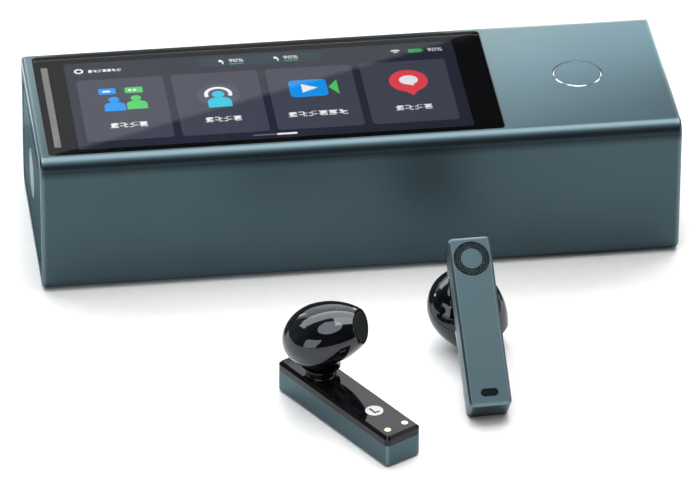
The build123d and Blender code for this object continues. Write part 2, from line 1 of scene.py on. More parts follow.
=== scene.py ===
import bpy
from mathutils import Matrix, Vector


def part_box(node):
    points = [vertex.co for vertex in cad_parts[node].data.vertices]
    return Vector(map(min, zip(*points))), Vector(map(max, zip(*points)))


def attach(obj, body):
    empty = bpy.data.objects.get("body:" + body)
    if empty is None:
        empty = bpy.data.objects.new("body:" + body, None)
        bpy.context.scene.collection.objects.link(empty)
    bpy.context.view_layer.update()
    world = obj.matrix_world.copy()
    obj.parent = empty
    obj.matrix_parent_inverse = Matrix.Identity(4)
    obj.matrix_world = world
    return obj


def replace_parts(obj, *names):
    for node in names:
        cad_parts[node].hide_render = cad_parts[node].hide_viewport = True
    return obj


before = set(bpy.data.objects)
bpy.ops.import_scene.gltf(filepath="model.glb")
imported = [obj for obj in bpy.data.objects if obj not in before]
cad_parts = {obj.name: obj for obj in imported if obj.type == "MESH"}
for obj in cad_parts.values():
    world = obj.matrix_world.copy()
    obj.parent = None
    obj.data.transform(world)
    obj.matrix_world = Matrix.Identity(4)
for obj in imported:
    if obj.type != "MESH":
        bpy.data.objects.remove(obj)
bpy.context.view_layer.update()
print("frame loaded,", len(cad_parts), "nodes")

import math
import bmesh
import bpy
import numpy as np
from mathutils import Euler, Matrix, Vector

mm = 0.001
scene = bpy.context.scene
scene.view_settings.view_transform = "Standard"


# Small helpers for meshes

def newObject(name, data):
    made = bpy.data.objects.new(name, data)
    scene.collection.objects.link(made)
    return made


def linkPiece(name, mesh, body, material):
    mesh.name = name
    piece = newObject(name, mesh)
    if material:
        mesh.materials.clear()
        mesh.materials.append(material)
    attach(piece, body)
    return piece


def arc(cx, cy, rx, ry, start=0.0, end=360.0, steps=32):
    whole = abs(end - start) >= 360
    count = steps if whole else steps + 1
    turns = [math.radians(start + (end - start) * k / steps) for k in range(count)]
    return [(cx + rx * math.cos(t), cy + ry * math.sin(t)) for t in turns]


def band(cx, cy, outer, inner, start, end):
    return arc(cx, cy, outer, outer, start, end) + arc(cx, cy, inner, inner, end, start)


def roundedRect(x0, x1, y0, y1, radius, steps=6):
    outline = []
    for x, y, start in ((x1, y1, 0), (x0, y1, 90), (x0, y0, 180), (x1, y0, 270)):
        cx = x - radius * (1 if x == x1 else -1)
        cy = y - radius * (1 if y == y1 else -1)
        outline += arc(cx, cy, radius, radius, start, start + 90, steps)
    return outline


def spreadRect(low, high, spare, radius):
    # the rectangle between two corners, larger all round by the spare
    return roundedRect(low.x - spare, high.x + spare, low.y - spare, high.y + spare, radius)


def plates(outlines, z0, z1):
    # outlines in mm become closed plates, and one inside another becomes a hole in it
    curve = bpy.data.curves.new("plates", "CURVE")
    curve.dimensions = "2D"
    curve.fill_mode = "BOTH"
    curve.extrude = (z1 - z0) / 2 * mm
    for outline in outlines:
        spline = curve.splines.new("POLY")
        spline.points.add(len(outline) - 1)
        for point, (x, y) in zip(spline.points, outline):
            point.co = (x * mm, y * mm, 0, 1)
        spline.use_cyclic_u = True
    return solidCurve(curve, (z0 + z1) / 2 * mm)


def solidCurve(curve, height, where=Matrix()):
    holder = newObject("curveHolder", curve)
    bpy.context.view_layer.update()
    ready = holder.evaluated_get(bpy.context.evaluated_depsgraph_get())
    mesh = bpy.data.meshes.new_from_object(ready)
    bpy.data.objects.remove(holder)
    bpy.data.curves.remove(curve)
    form = bmesh.new()
    form.from_mesh(mesh)
    bmesh.ops.remove_doubles(form, verts=form.verts, dist=1e-6)
    bmesh.ops.recalc_face_normals(form, faces=form.faces)
    form.to_mesh(mesh)
    form.free()
    mesh.transform(where @ Matrix.Translation((0, 0, height)))
    return mesh


def lettering(words, size, thickness, where, bold=0.0):
    # size in mm is the height of a figure, which is 0.7 of the font's size, and the words are centred
    curve = bpy.data.curves.new("lettering", "FONT")
    curve.body = words
    curve.size = size / 0.7 * mm
    curve.align_x = "CENTER"
    curve.align_y = "CENTER"
    curve.extrude = thickness / 2 * mm
    curve.offset = bold * mm
    curve.resolution_u = 3
    return solidCurve(curve, 0, where)


def joined(meshes):
    form = bmesh.new()
    for mesh in meshes:
        form.from_mesh(mesh)
        bpy.data.meshes.remove(mesh)
    whole = bpy.data.meshes.new("joined")
    form.to_mesh(whole)
    form.free()
    return whole


def lathe(profile, where, steps=64):
    # profile is (radius, height) in mm, turned about the place's own Z
    turns = [2 * math.pi * k / steps for k in range(steps)]
    form = bmesh.new()
    rows = [[form.verts.new((r * math.cos(t) * mm, r * math.sin(t) * mm, z * mm)) for t in turns]
            for r, z in profile]
    for low, high in zip(rows, rows[1:] + rows[:1]):
        for k in range(steps):
            n = (k + 1) % steps
            form.faces.new((low[k], low[n], high[n], high[k]))
    bmesh.ops.remove_doubles(form, verts=form.verts, dist=1e-7)
    bmesh.ops.recalc_face_normals(form, faces=form.faces)
    for face in form.faces:
        face.smooth = True
    mesh = bpy.data.meshes.new("lathe")
    form.to_mesh(mesh)
    form.free()
    mesh.set_sharp_from_angle(angle=math.radians(35))
    mesh.transform(where)
    return mesh


# Small helpers for nodes

def node(tree, kind, given=None, **settings):
    made = tree.nodes.new(kind)
    for key, value in settings.items():
        setattr(made, key, value)
    for key, value in (given or {}).items():
        if isinstance(value, bpy.types.NodeSocket):
            tree.links.new(value, made.inputs[key])
        else:
            made.inputs[key].default_value = value
    return made


def feed(tree, made, **values):
    # links values to a node's inputs by name, with _ for a space
    for label, value in values.items():
        tree.links.new(value, made.inputs[label.replace("_", " ")])


def calc(tree, operation, *values):
    return node(tree, "ShaderNodeMath", dict(enumerate(values)), operation=operation).outputs[0]


def times(tree, first, second):
    return calc(tree, "MULTIPLY", first, second)


def vectorCalc(tree, operation, *values, output="Vector", **named):
    given = dict(enumerate(values)) | named
    return node(tree, "ShaderNodeVectorMath", given, operation=operation).outputs[output]


def parted(tree, vector):
    return node(tree, "ShaderNodeSeparateXYZ", {0: vector}).outputs


def newTree(name, kind, wanted, results):
    tree = bpy.data.node_groups.new(name, kind)
    socketType = {float: "Float", int: "Int", tuple: "Color", Vector: "Vector"}
    for label, value in wanted.items():
        ending = socketType.get(type(value), "Material")
        made = tree.interface.new_socket(label, in_out="INPUT", socket_type="NodeSocket" + ending)
        if ending != "Material":
            made.default_value = value
    for label, ending in results.items():
        tree.interface.new_socket(label, in_out="OUTPUT", socket_type="NodeSocket" + ending)
    return tree, tree.nodes.new("NodeGroupInput").outputs, tree.nodes.new("NodeGroupOutput")


def noise(tree, vector, scale, detail=2.0, distortion=0.0):
    return node(tree, "ShaderNodeTexNoise", {"Vector": vector, "Scale": scale, "Detail": detail,
            "Distortion": distortion}).outputs[0]


def ramp(tree, value, low, high, outLow=0.0, outHigh=1.0):
    return node(tree, "ShaderNodeMapRange", {"Value": value, "From Min": low, "From Max": high,
            "To Min": outLow, "To Max": outHigh}).outputs[0]


def between(tree, value, start, full, fade, end):
    # rises from start to full and falls from fade to end, all in mm
    rise = ramp(tree, value, start * mm, full * mm)
    return times(tree, rise, ramp(tree, value, fade * mm, end * mm, 1.0, 0.0))


def blendColor(tree, mask, first, second):
    return node(tree, "ShaderNodeMix", {0: mask, 6: first, 7: second}, data_type="RGBA").outputs[2]


def fromSrgb(*levels):
    # a colour from its three levels of 0 to 255 on a screen
    parts = [v / 255 / 12.92 if v <= 10 else ((v / 255 + 0.055) / 1.055) ** 2.4 for v in levels]
    return (*parts, 1.0)


# Shader groups shared by the finishes

pattern = dict(grainShare=0.35, cloudShare=0.65, patches=(0.3, 0.7), smears=(0.5, 0.72), wobble=3500.0,
    grainHeight=2e-5, turnedHeight=6e-6, turnedRaised=0.12, turnedUneven=0.15, pixelDip=0.12,
    pixelBase=0.94, fall=(-0.05, 0.02))
# depths under the top in mm where the painted shade band and the painted highlight line start, are full,
# begin to fade and end, and from the walls inward
paintedBands = dict(shade=(1.6, 2.2, 2.3, 3.9), shine=(0.01, 0.08, 0.15, 0.6), wall=(0.1, 0.4))


def fineGrainGroup():
    # blasted or moulded surface: fine grain, slow clouds in the colour, uneven gloss
    tree, given, result = newTree("fineGrain", "ShaderNodeTree", {
        "Vector": Vector(), "Grain": 9000.0, "Clouds": 60.0, "Light": (0.5, 0.5, 0.5, 1.0),
        "Dark": (0.4, 0.4, 0.4, 1.0), "Roughness": 0.4, "Spread": 0.06},
        {"Color": "Color", "Roughness": "Float", "Height": "Float"})
    grain = noise(tree, given["Vector"], given["Grain"], 1.0)
    clouds = noise(tree, given["Vector"], given["Clouds"], 3.0, 0.4)
    both = calc(tree, "MULTIPLY_ADD", grain, pattern["grainShare"],
            times(tree, clouds, pattern["cloudShare"]))
    patches = ramp(tree, both, *pattern["patches"])
    uneven = calc(tree, "SUBTRACT", calc(tree, "ADD", grain, clouds), 1.0)
    feed(tree, result, Color=blendColor(tree, patches, given["Dark"], given["Light"]), Height=grain,
         Roughness=calc(tree, "MULTIPLY_ADD", uneven, given["Spread"], given["Roughness"]))
    return tree


def smudgeGroup():
    # gloss with faint finger marks
    tree, given, result = newTree("smudges", "ShaderNodeTree", {
        "Vector": Vector(), "Size": 90.0, "Clean": 0.03, "Smudged": 0.14},
        {"Roughness": "Float", "Mask": "Float"})
    marks = ramp(tree, noise(tree, given["Vector"], given["Size"], 4.0, 1.2), *pattern["smears"])
    feed(tree, result, Roughness=ramp(tree, marks, 0.0, 1.0, given["Clean"], given["Smudged"]), Mask=marks)
    return tree


def turnedGroup():
    # concentric tool marks about the vector's Z
    tree, given, result = newTree("turnedMarks", "ShaderNodeTree", {
        "Vector": Vector(), "Pitch": 0.00012}, {"Height": "Float", "Mask": "Float"})
    parts = parted(tree, given["Vector"])
    radius = calc(tree, "POWER", calc(tree, "MULTIPLY_ADD", parts[0], parts[0],
            times(tree, parts[1], parts[1])), 0.5)
    turns = calc(tree, "DIVIDE", times(tree, radius, 2 * math.pi), given["Pitch"])
    along = node(tree, "ShaderNodeCombineXYZ", {0: radius}).outputs[0]
    feed(tree, result, Height=calc(tree, "SINE", turns), Mask=noise(tree, along, pattern["wobble"]))
    return tree


def pixelGlowGroup():
    # a lit screen's colour: fine pixel rows, and a slow fall of light towards its right end
    tree, given, result = newTree("pixelGlow", "ShaderNodeTree", {
        "Vector": Vector(), "Color": (0.1, 0.1, 0.1, 1.0), "Pitch": 0.0001, "Fade": 0.25},
        {"Color": "Color"})
    parts = parted(tree, given["Vector"])
    rows, columns = [
        calc(tree, "ABSOLUTE", calc(tree, "SINE", calc(tree, "DIVIDE", part, given["Pitch"])))
        for part in (parts[0], parts[1])]
    grid = calc(tree, "MULTIPLY_ADD", times(tree, rows, columns), pattern["pixelDip"], pattern["pixelBase"])
    fall = ramp(tree, parts[0], *pattern["fall"], 1.0, calc(tree, "SUBTRACT", 1.0, given["Fade"]))
    level = times(tree, grid, fall)
    feed(tree, result, Color=vectorCalc(tree, "SCALE", given["Color"], Scale=level))
    return tree


def paintedEdgeLightGroup():
    # Mask, a painted highlight, rises within Width of where two sides of a box-like piece meet; Shade is
    # painted shade in a band along its front and back just under the top's rounding, and Shine a painted
    # highlight on it
    tree, given, result = newTree("paintedEdgeLight", "ShaderNodeTree", {
        "Vector": Vector(), "Half": Vector((0.01, 0.01, 0.01)), "Width": 0.0004},
        {"Mask": "Float", "Shade": "Float", "Shine": "Float"})
    gaps = parted(tree, vectorCalc(tree, "SUBTRACT", given["Half"],
            vectorCalc(tree, "ABSOLUTE", given["Vector"])))
    near = [ramp(tree, gap, 0.0, given["Width"], 1.0, 0.0) for gap in gaps]
    xy, yz, zx = [times(tree, near[k], near[(k + 1) % 3]) for k in range(3)]
    depth = calc(tree, "SUBTRACT", parted(tree, given["Half"])[2], parted(tree, given["Vector"])[2])
    upright = ramp(tree, gaps[1], *(d * mm for d in paintedBands["wall"]), 1.0, 0.0)
    feed(tree, result, Mask=calc(tree, "MAXIMUM", calc(tree, "MAXIMUM", xy, yz), zx),
         Shade=times(tree, between(tree, depth, *paintedBands["shade"]), upright),
         Shine=between(tree, depth, *paintedBands["shine"]))
    return tree


groups = {"grain": fineGrainGroup(), "smudge": smudgeGroup(), "turned": turnedGroup(),
    "pixel": pixelGlowGroup(), "edge": paintedEdgeLightGroup()}
print("shader groups ready")


# Finishes

def startFinish(name, **plain):
    material = bpy.data.materials.new(name)
    material.use_nodes = True
    shader = material.node_tree.nodes["Principled BSDF"]
    for label, value in plain.items():
        shader.inputs[label.replace("_", " ")].default_value = value
    return material, material.node_tree, shader


def place(tree, where=None):
    # the piece's own coordinates, in the frame of the matrix where one is given
    vector = node(tree, "ShaderNodeTexCoord").outputs["Object"]
    if where is None:
        return vector
    back = where.inverted()
    return node(tree, "ShaderNodeMapping", {"Vector": vector, "Location": back.translation,
            "Rotation": back.to_euler()}).outputs[0]


def use(tree, group, given):
    return node(tree, "ShaderNodeGroup", given, node_tree=groups[group]).outputs


def bump(tree, shader, height, strength, distance):
    given = {"Height": height, "Strength": strength, "Distance": distance}
    feed(tree, shader, Normal=node(tree, "ShaderNodeBump", given).outputs[0])


def grained(name, light, dark, rough, grain=9000.0, clouds=60.0, raised=0.15, where=None, edge=None, **plain):
    # edge holds the half sizes of the piece, the width and colour of the painted highlight along its edges,
    # and the shares of it, of the painted highlight on the top's rounding and of the painted shade under that
    material, tree, shader = startFinish(name, **plain)
    vector = place(tree, where)
    made = use(tree, "grain", {"Vector": vector, "Grain": grain, "Clouds": clouds, "Light": light,
            "Dark": dark, "Roughness": rough})
    color = made["Color"]
    if edge:
        # blends in the painted highlights and the painted shade
        masks = use(tree, "edge", {"Vector": vector, "Half": edge["half"], "Width": edge["width"]})
        for label, tint in (("Mask", edge["color"]), ("Shine", edge["color"]), ("Shade", (0, 0, 0, 1))):
            color = blendColor(tree, times(tree, masks[label], edge[label.lower()]), color, tint)
    feed(tree, shader, Base_Color=color, Roughness=made["Roughness"])
    bump(tree, shader, made["Height"], raised, pattern["grainHeight"])
    return material


def glossy(name, light, dark, clean, smudged, size=90.0, **plain):
    material, tree, shader = startFinish(name, **plain)
    marks = use(tree, "smudge", {"Vector": place(tree), "Size": size, "Clean": clean, "Smudged": smudged})
    feed(tree, shader, Base_Color=blendColor(tree, marks["Mask"], dark, light), Roughness=marks["Roughness"])
    return material


def turned(name, light, dark, rough, where, **plain):
    material, tree, shader = startFinish(name, **plain)
    marks = use(tree, "turned", {"Vector": place(tree, where)})
    uneven = pattern["turnedUneven"]
    gloss = ramp(tree, marks["Mask"], *pattern["patches"], rough * (1 - uneven), rough * (1 + uneven))
    feed(tree, shader, Base_Color=blendColor(tree, marks["Mask"], dark, light), Roughness=gloss)
    bump(tree, shader, marks["Height"], pattern["turnedRaised"], pattern["turnedHeight"])
    return material


def glowing(name, color, strength):
    material, tree, shader = startFinish(name, Base_Color=(0.004, 0.004, 0.005, 1), Roughness=0.5,
            Specular_IOR_Level=0.0, Emission_Strength=strength)
    feed(tree, shader, Emission_Color=use(tree, "pixel", {"Vector": place(tree), "Color": color})["Color"])
    return material


# Small helpers for places

def boxMm(name):
    # a node's lowest and highest corners in mm
    return [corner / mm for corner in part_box(name)]


def axesAt(spot, x, y, z):
    # the place with this middle and these axes
    return Matrix.Translation(spot) @ Matrix((x, y, z)).transposed().to_4x4()


def turnBy(x=0, y=0, z=0):
    # a turn about the axes in degrees
    return Euler([math.radians(v) for v in (x, y, z)]).to_matrix().to_4x4()


def middle(name):
    low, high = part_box(name)
    return (low + high) / 2


def discPlace(name, away):
    # the place of a flat round node: its middle, its long side as X, and its axis as Z away from a point
    points = np.array([v.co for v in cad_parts[name].data.vertices])
    centre = Vector(points.min(0) / 2 + points.max(0) / 2)
    axes = np.linalg.svd(points - points.mean(0))[2]
    axis = Vector(axes[2])
    if axis.dot(centre - away) < 0:
        axis.negate()
    long = Vector(axes[0])
    return axesAt(centre, long, axis.cross(long), axis)


def discReach(name, where):
    # how far a flat node reaches along X and Y of its place, in mm
    points = np.array([where.inverted() @ v.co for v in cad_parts[name].data.vertices])
    return np.abs(points).max(0)[:2] / mm


def budPlace(side):
    # the earbud's own frame: X from the head end to the contacts, Z from the aluminium to the head
    ring = discPlace(side + "_bud_mic_ring_mesh", middle(side + "_bud_neck_ring"))
    up = -ring.to_3x3().col[2]
    along = middle(side + "_bud_mic_window") - ring.translation
    along = (along - up * along.dot(up)).normalized()
    return axesAt(ring.translation, along, up.cross(along), up)


buds = {side: budPlace(side) for side in ("left", "right")}


# The finish of every slot, and those of the case and stems with painted highlights along their edges

teal = dict(light=(0.053, 0.084, 0.100, 1), dark=(0.045, 0.073, 0.087, 1),
    # the stems' tones: the case's aluminium painted lighter
    stemLitLight=(0.070, 0.109, 0.126, 1), stemLitDark=(0.060, 0.095, 0.111, 1),
    # the end pieces' grazing tint is darker than the sleeve's, a painted shade
    grazing=(0.86, 0.94, 0.97, 1), endShadedGrazing=(0.22, 0.31, 0.33, 1))
caseMiddle = Matrix.Translation((0, 0, 0.0138))
# the case's painted highlights along its edges and on its top's rounding, and painted shade under the
# rounding
casePaintedEdges = dict(half=Vector((0.059, 0.0202, 0.0138)), width=0.0009, color=(0.26, 0.36, 0.40, 1),
    mask=0.4, shine=0.2, shade=0.6)
# the stem's block ends at the aluminium face and well above the seam with the cover
stemMiddle = Matrix.Translation((0.01193, 0, 0.00318))
# the stem's painted highlight along its edges
stemPaintedEdges = dict(half=Vector((0.01606, 0.00383, 0.0034)), width=0.0006, color=(0.30, 0.40, 0.44, 1),
    mask=0.75, shine=0.0, shade=0.0)

releaseFace = Matrix.Translation(middle("release_button")) @ turnBy(y=-90)
buttonFace = Matrix.Translation(middle("main_button"))
finishes = {
    "case_aluminium": grained("caseAluminium", teal["light"], teal["dark"], 0.38, where=caseMiddle,
        edge=casePaintedEdges, Metallic=1.0, Specular_Tint=teal["grazing"]),
    # the end pieces share the sleeve's metal with a darker reflection, a painted shade
    "end_aluminium": grained("endAluminiumPaintedShade", teal["light"], teal["dark"], 0.40, Metallic=1.0,
        Specular_Tint=teal["endShadedGrazing"]),
    "neck_trim": grained("neckTrim", (0.20, 0.20, 0.21, 1), (0.14, 0.14, 0.15, 1), 0.25, Metallic=1.0),
    "pale_mesh": grained("paleMesh", (0.060, 0.086, 0.092, 1), (0.045, 0.066, 0.070, 1), 0.4, Metallic=1.0),
    "ring_black": grained("ringBlack", (0.008, 0.014, 0.015, 1), (0.005, 0.009, 0.010, 1), 0.35,
        Metallic=1.0, Specular_Tint=(0.2, 0.25, 0.26, 1)),
    # the cover is the head's black with weaker reflection, a painted shade
    "cover_black": glossy("coverBlackPaintedShade", (0.010, 0.010, 0.012, 1), (0.003, 0.003, 0.004, 1), 0.03, 0.07,
        Specular_IOR_Level=0.28),
    "bud_black": glossy("budBlack", (0.012, 0.012, 0.014, 1), (0.004, 0.004, 0.005, 1), 0.03, 0.07,
        Specular_Tint=(0.82, 0.92, 1.0, 1), Specular_IOR_Level=0.62),
    "screen_glass": glossy("screenGlass", (0.96, 0.97, 0.98, 1), (1, 1, 1, 1), 0.0, 0.006, size=30.0,
        Transmission_Weight=1.0, IOR=1.5),
    "screen": grained("displayBack", (0.02, 0.02, 0.022, 1), (0.012, 0.012, 0.014, 1), 0.45),
    # a faint even glow lifts the bar's grey, painted light
    "light_bar": grained("lightBarPaintedGlow", (0.33, 0.32, 0.30, 1), (0.26, 0.25, 0.24, 1), 0.45,
        Emission_Color=(0.018, 0.017, 0.016, 1), Emission_Strength=1.0),
    "polished_trim": turned("polishedTrim", (0.42, 0.46, 0.48, 1), (0.36, 0.40, 0.42, 1), 0.18,
        buttonFace, Metallic=1.0),
    "pale_disc": turned("paleDisc", (0.20, 0.28, 0.31, 1), (0.17, 0.24, 0.26, 1), 0.30, releaseFace,
        Metallic=1.0, Specular_Tint=(0.42, 0.52, 0.55, 1)),
    "inner_plastic": grained("innerPlastic", (0.020, 0.021, 0.023, 1), (0.014, 0.015, 0.016, 1), 0.55,
        grain=5000.0, raised=0.3),
    "circuit_board": grained("circuitBoard", (0.010, 0.045, 0.030, 1), (0.006, 0.028, 0.020, 1), 0.35,
        grain=1500.0, clouds=900.0),
    "battery_wrap": grained("batteryWrap", (0.10, 0.11, 0.12, 1), (0.07, 0.075, 0.08, 1), 0.35,
        grain=2500.0, clouds=120.0, Metallic=0.4),
    "steel": grained("steel", (0.52, 0.52, 0.53, 1), (0.42, 0.42, 0.43, 1), 0.32, grain=6000.0,
        Metallic=1.0),
    "flex_cable": grained("flexCable", (0.30, 0.14, 0.03, 1), (0.22, 0.10, 0.02, 1), 0.35, clouds=700.0),
    # the gold glows faintly, a painted highlight
    "gold_contact": grained("goldContactPaintedGlow", (0.86, 0.76, 0.50, 1), (0.80, 0.69, 0.42, 1), 0.30,
        Metallic=1.0, Emission_Color=(0.55, 0.50, 0.36, 1), Emission_Strength=0.15),
    "white_mark": grained("whiteMark", (0.64, 0.64, 0.65, 1), (0.58, 0.58, 0.59, 1), 0.5),
    "dark_mesh": grained("darkMesh", (0.030, 0.033, 0.035, 1), (0.015, 0.017, 0.018, 1), 0.45, Metallic=0.6),
    "window_black": glossy("windowBlack", (0.004, 0.004, 0.005, 1), (0.002, 0.002, 0.003, 1), 0.02, 0.03),
    "mic_window": glossy("micWindow", (0.010, 0.018, 0.021, 1), (0.006, 0.012, 0.014, 1), 0.15, 0.2,
        Specular_IOR_Level=0.04),
    "rubber": grained("rubber", (0.025, 0.025, 0.026, 1), (0.015, 0.015, 0.016, 1), 0.7, grain=4000.0,
        raised=0.4),
}


def dressNodes():
    # a node takes its slot's finish, except the few with a finish of their own
    own = {name: finishes["end_aluminium"] for name in ("end_door", "left_end_frame")}
    for side in ("left", "right"):
        # a lighter copy of the case's aluminium, painted light, with painted highlights along the edges
        own[side + "_bud_stem_shell"] = grained(
            side + "StemAluminiumPaintedLighter", teal["stemLitLight"], teal["stemLitDark"], 0.38, where=buds[side] @ stemMiddle,
            edge=stemPaintedEdges, Metallic=1.0, Specular_Tint=teal["grazing"])
        for ending, key in (("neck_ring", "bud_black"), ("mic_ring_mesh", "pale_mesh"),
                ("stem_cover", "cover_black"), ("mic_window", "mic_window")):
            own[side + "_bud_" + ending] = finishes[key]
    for name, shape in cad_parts.items():
        slotName = shape.material_slots[0].material.name.split(".")[0]
        for held in shape.material_slots:
            held.material = own.get(name) or finishes[slotName]


dressNodes()
print("frame dressed in", len(finishes), "finishes")


# Geometry Nodes trees

def geo(tree, kind, given=None, **settings):
    return node(tree, "GeometryNode" + kind, given, **settings).outputs[0]


def extruded(tree, flat, thickness):
    # a flat fill becomes a closed plate of that thickness, upwards
    top = node(tree, "GeometryNodeExtrudeMesh", {"Mesh": flat, "Individual": False, "Offset": (0, 0, 1),
            "Offset Scale": thickness}, mode="FACES").outputs["Mesh"]
    under = geo(tree, "FlipFaces", {"Mesh": flat})
    both = node(tree, "GeometryNodeJoinGeometry")
    tree.links.new(top, both.inputs[0])
    tree.links.new(under, both.inputs[0])
    return geo(tree, "MergeByDistance", {"Geometry": both.outputs[0], "Distance": 1e-6})


def finishTree(tree, geometry, given, result):
    real = geo(tree, "RealizeInstances", {"Geometry": geometry})
    painted = node(tree, "GeometryNodeSetMaterial", {"Geometry": real, "Material": given["Material"]})
    tree.links.new(painted.outputs[0], result.inputs[0])


def perforatedTree():
    # a sheet of hexagon cells with a round hole in each, kept between two radii and inside a rectangle
    tree, given, result = newTree("perforatedSheet", "GeometryNodeTree", {
        "Half Width": 0.003, "Half Depth": 0.003, "Outer Radius": 0.003, "Inner Radius": 0.0,
        "Pitch": 0.0004, "Hole Radius": 0.00013, "Thickness": 0.0001,
        "Material": bpy.types.Material}, {"Geometry": "Geometry"})
    pitch = given["Pitch"]
    rowStep = times(tree, pitch, math.sqrt(0.75))
    spread = 2.2  # times the half size, so that the cells pass it on both sides
    columns, rows = [
        calc(tree, "CEIL", calc(tree, "DIVIDE", times(tree, given[label], spread), step))
        for label, step in (("Half Width", pitch), ("Half Depth", rowStep))]
    index = geo(tree, "InputIndex")
    row = calc(tree, "FLOOR", calc(tree, "DIVIDE", calc(tree, "ADD", index, 0.5), columns))
    column = calc(tree, "SUBTRACT", index, times(tree, row, columns))
    shift = times(tree, calc(tree, "MODULO", row, 2.0), 0.5)
    across = calc(tree, "SUBTRACT", calc(tree, "ADD", column, shift), times(tree, columns, 0.5))
    x = times(tree, across, pitch)
    y = times(tree, calc(tree, "SUBTRACT", row, times(tree, rows, 0.5)), rowStep)
    spot = node(tree, "ShaderNodeCombineXYZ", {0: x, 1: y}).outputs[0]
    points = geo(tree, "Points", {"Count": times(tree, columns, rows), "Position": spot})
    radius = vectorCalc(tree, "LENGTH", spot, output="Value")
    margin = times(tree, pitch, 0.58)  # just over a cell's corner radius, so that none sticks out
    kept = calc(tree, "LESS_THAN", radius, calc(tree, "SUBTRACT", given["Outer Radius"], margin))
    kept = times(tree, kept, calc(tree, "GREATER_THAN", radius,
            calc(tree, "ADD", margin, given["Inner Radius"])))
    for offset, half in ((x, given["Half Width"]), (y, given["Half Depth"])):
        kept = times(tree, kept, calc(tree, "LESS_THAN", calc(tree, "ABSOLUTE", offset),
                calc(tree, "SUBTRACT", half, margin)))
    cell, hole = [
        geo(tree, "CurvePrimitiveCircle", {"Resolution": corners, "Radius": reach}, mode="RADIUS")
        for corners, reach in ((6, calc(tree, "DIVIDE", pitch, math.sqrt(3))), (10, given["Hole Radius"]))]
    both = node(tree, "GeometryNodeJoinGeometry")
    tree.links.new(cell, both.inputs[0])
    tree.links.new(hole, both.inputs[0])
    flat = geo(tree, "FillCurve", {"Curve": both.outputs[0]})
    placed = geo(tree, "InstanceOnPoints", {
        "Points": points, "Selection": kept, "Instance": flat,
        "Rotation": (0, 0, math.radians(30))})
    real = geo(tree, "RealizeInstances", {"Geometry": placed})
    sheet = geo(tree, "MergeByDistance", {"Geometry": real, "Distance": 2e-6})
    finishTree(tree, extruded(tree, sheet, given["Thickness"]), given, result)
    return tree


def rowTree():
    # a row of plates with round corners, one pitch apart along X
    tree, given, result = newTree("plateRow", "GeometryNodeTree", {
        "Width": 0.016, "Depth": 0.022, "Corner": 0.0008, "Thickness": 0.00002, "Pitch": 0.0175, "Count": 4,
        "Material": bpy.types.Material}, {"Geometry": "Geometry"})
    outline = geo(tree, "CurvePrimitiveQuadrilateral", {
        "Width": given["Width"], "Height": given["Depth"]}, mode="RECTANGLE")
    rounded = geo(tree, "FilletCurve", {"Curve": outline, "Radius": given["Corner"], "Count": 6}, mode="POLY")
    flat = geo(tree, "FillCurve", {"Curve": rounded})
    plate = extruded(tree, flat, given["Thickness"])
    step = node(tree, "ShaderNodeCombineXYZ", {0: given["Pitch"]}).outputs[0]
    line = geo(tree, "MeshLine", {"Count": given["Count"], "Offset": step}, mode="OFFSET")
    placed = geo(tree, "InstanceOnPoints", {"Points": line, "Instance": plate})
    finishTree(tree, placed, given, result)
    return tree


def grown(kind, sizes, where, **others):
    # a tree's result from sizes in mm, as a plain mesh at its place
    tree = trees[kind]
    values = {key: value * mm for key, value in sizes.items()} | others
    seed = newObject("seed", bpy.data.meshes.new("seed"))
    modifier = seed.modifiers.new("grow", "NODES")
    modifier.node_group = tree
    for item in tree.interface.items_tree:
        if item.item_type == "SOCKET" and item.in_out == "INPUT" and item.name in values:
            modifier[item.identifier] = values[item.name]
    ready = seed.evaluated_get(bpy.context.evaluated_depsgraph_get())
    mesh = bpy.data.meshes.new_from_object(ready)
    bpy.data.objects.remove(seed)
    mesh.transform(where)
    return mesh


trees = {"perforated": perforatedTree(), "row": rowTree()}
print("geometry trees ready")


# Screen: printed glass, display and what it shows, with all places and sizes in mm

screen = dict(glassBottom=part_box("cover_glass")[0].z / mm, pictureDrop=0.1, layer=0.02, left=-51.5,
    right=21.2, front=-15.6, back=15.3, windowCorner=0.4, panelCorner=0.9,
    fieldSpare=0.4, fieldCorner=0.5, cardLeft=-49.7, cardPitch=17.53, cardWidth=16.05,
    cardFront=-12.85, cardBack=9.05, cardCorner=0.8, cardCount=4, printInset=0.02,
    printThickness=0.03, printCorner=0.85, barInset=0.02, barCorner=0.1, shadeRingGap=0.01,
    shadeRingWidth=0.10, shadeRingDrop=0.02, shadeRingCorner=0.9, dimGlow=1.0, brightGlow=1.25)
layers = ("field", "cards", "icons", "details")

ink = {"field": (38, 42, 60), "card": (72, 76, 92), "teal": (38, 60, 76),
       "halo": (88, 92, 106), "blue": (10, 150, 242), "green": (82, 205, 104),
       "cyan": (36, 200, 228), "red": (232, 70, 80), "white": (246, 246, 250),
       "leaf": (46, 170, 92), "grey": (120, 122, 140)}
dimInk = ("field", "card", "teal", "halo")
glow = {key: glowing("glow" + key.capitalize(), fromSrgb(*ink[key]),
    screen["dimGlow" if key in dimInk else "brightGlow"]) for key in ink}


def level(layer):
    # bottom and top of a layer of the picture, counted up from the display's face
    low = screen["glassBottom"] - screen["pictureDrop"] + layers.index(layer) * screen["layer"]
    return low, low + screen["layer"]


def layerPiece(name, outlines, layer, key):
    return linkPiece(name, plates(outlines, *level(layer)), "case", glow[key])


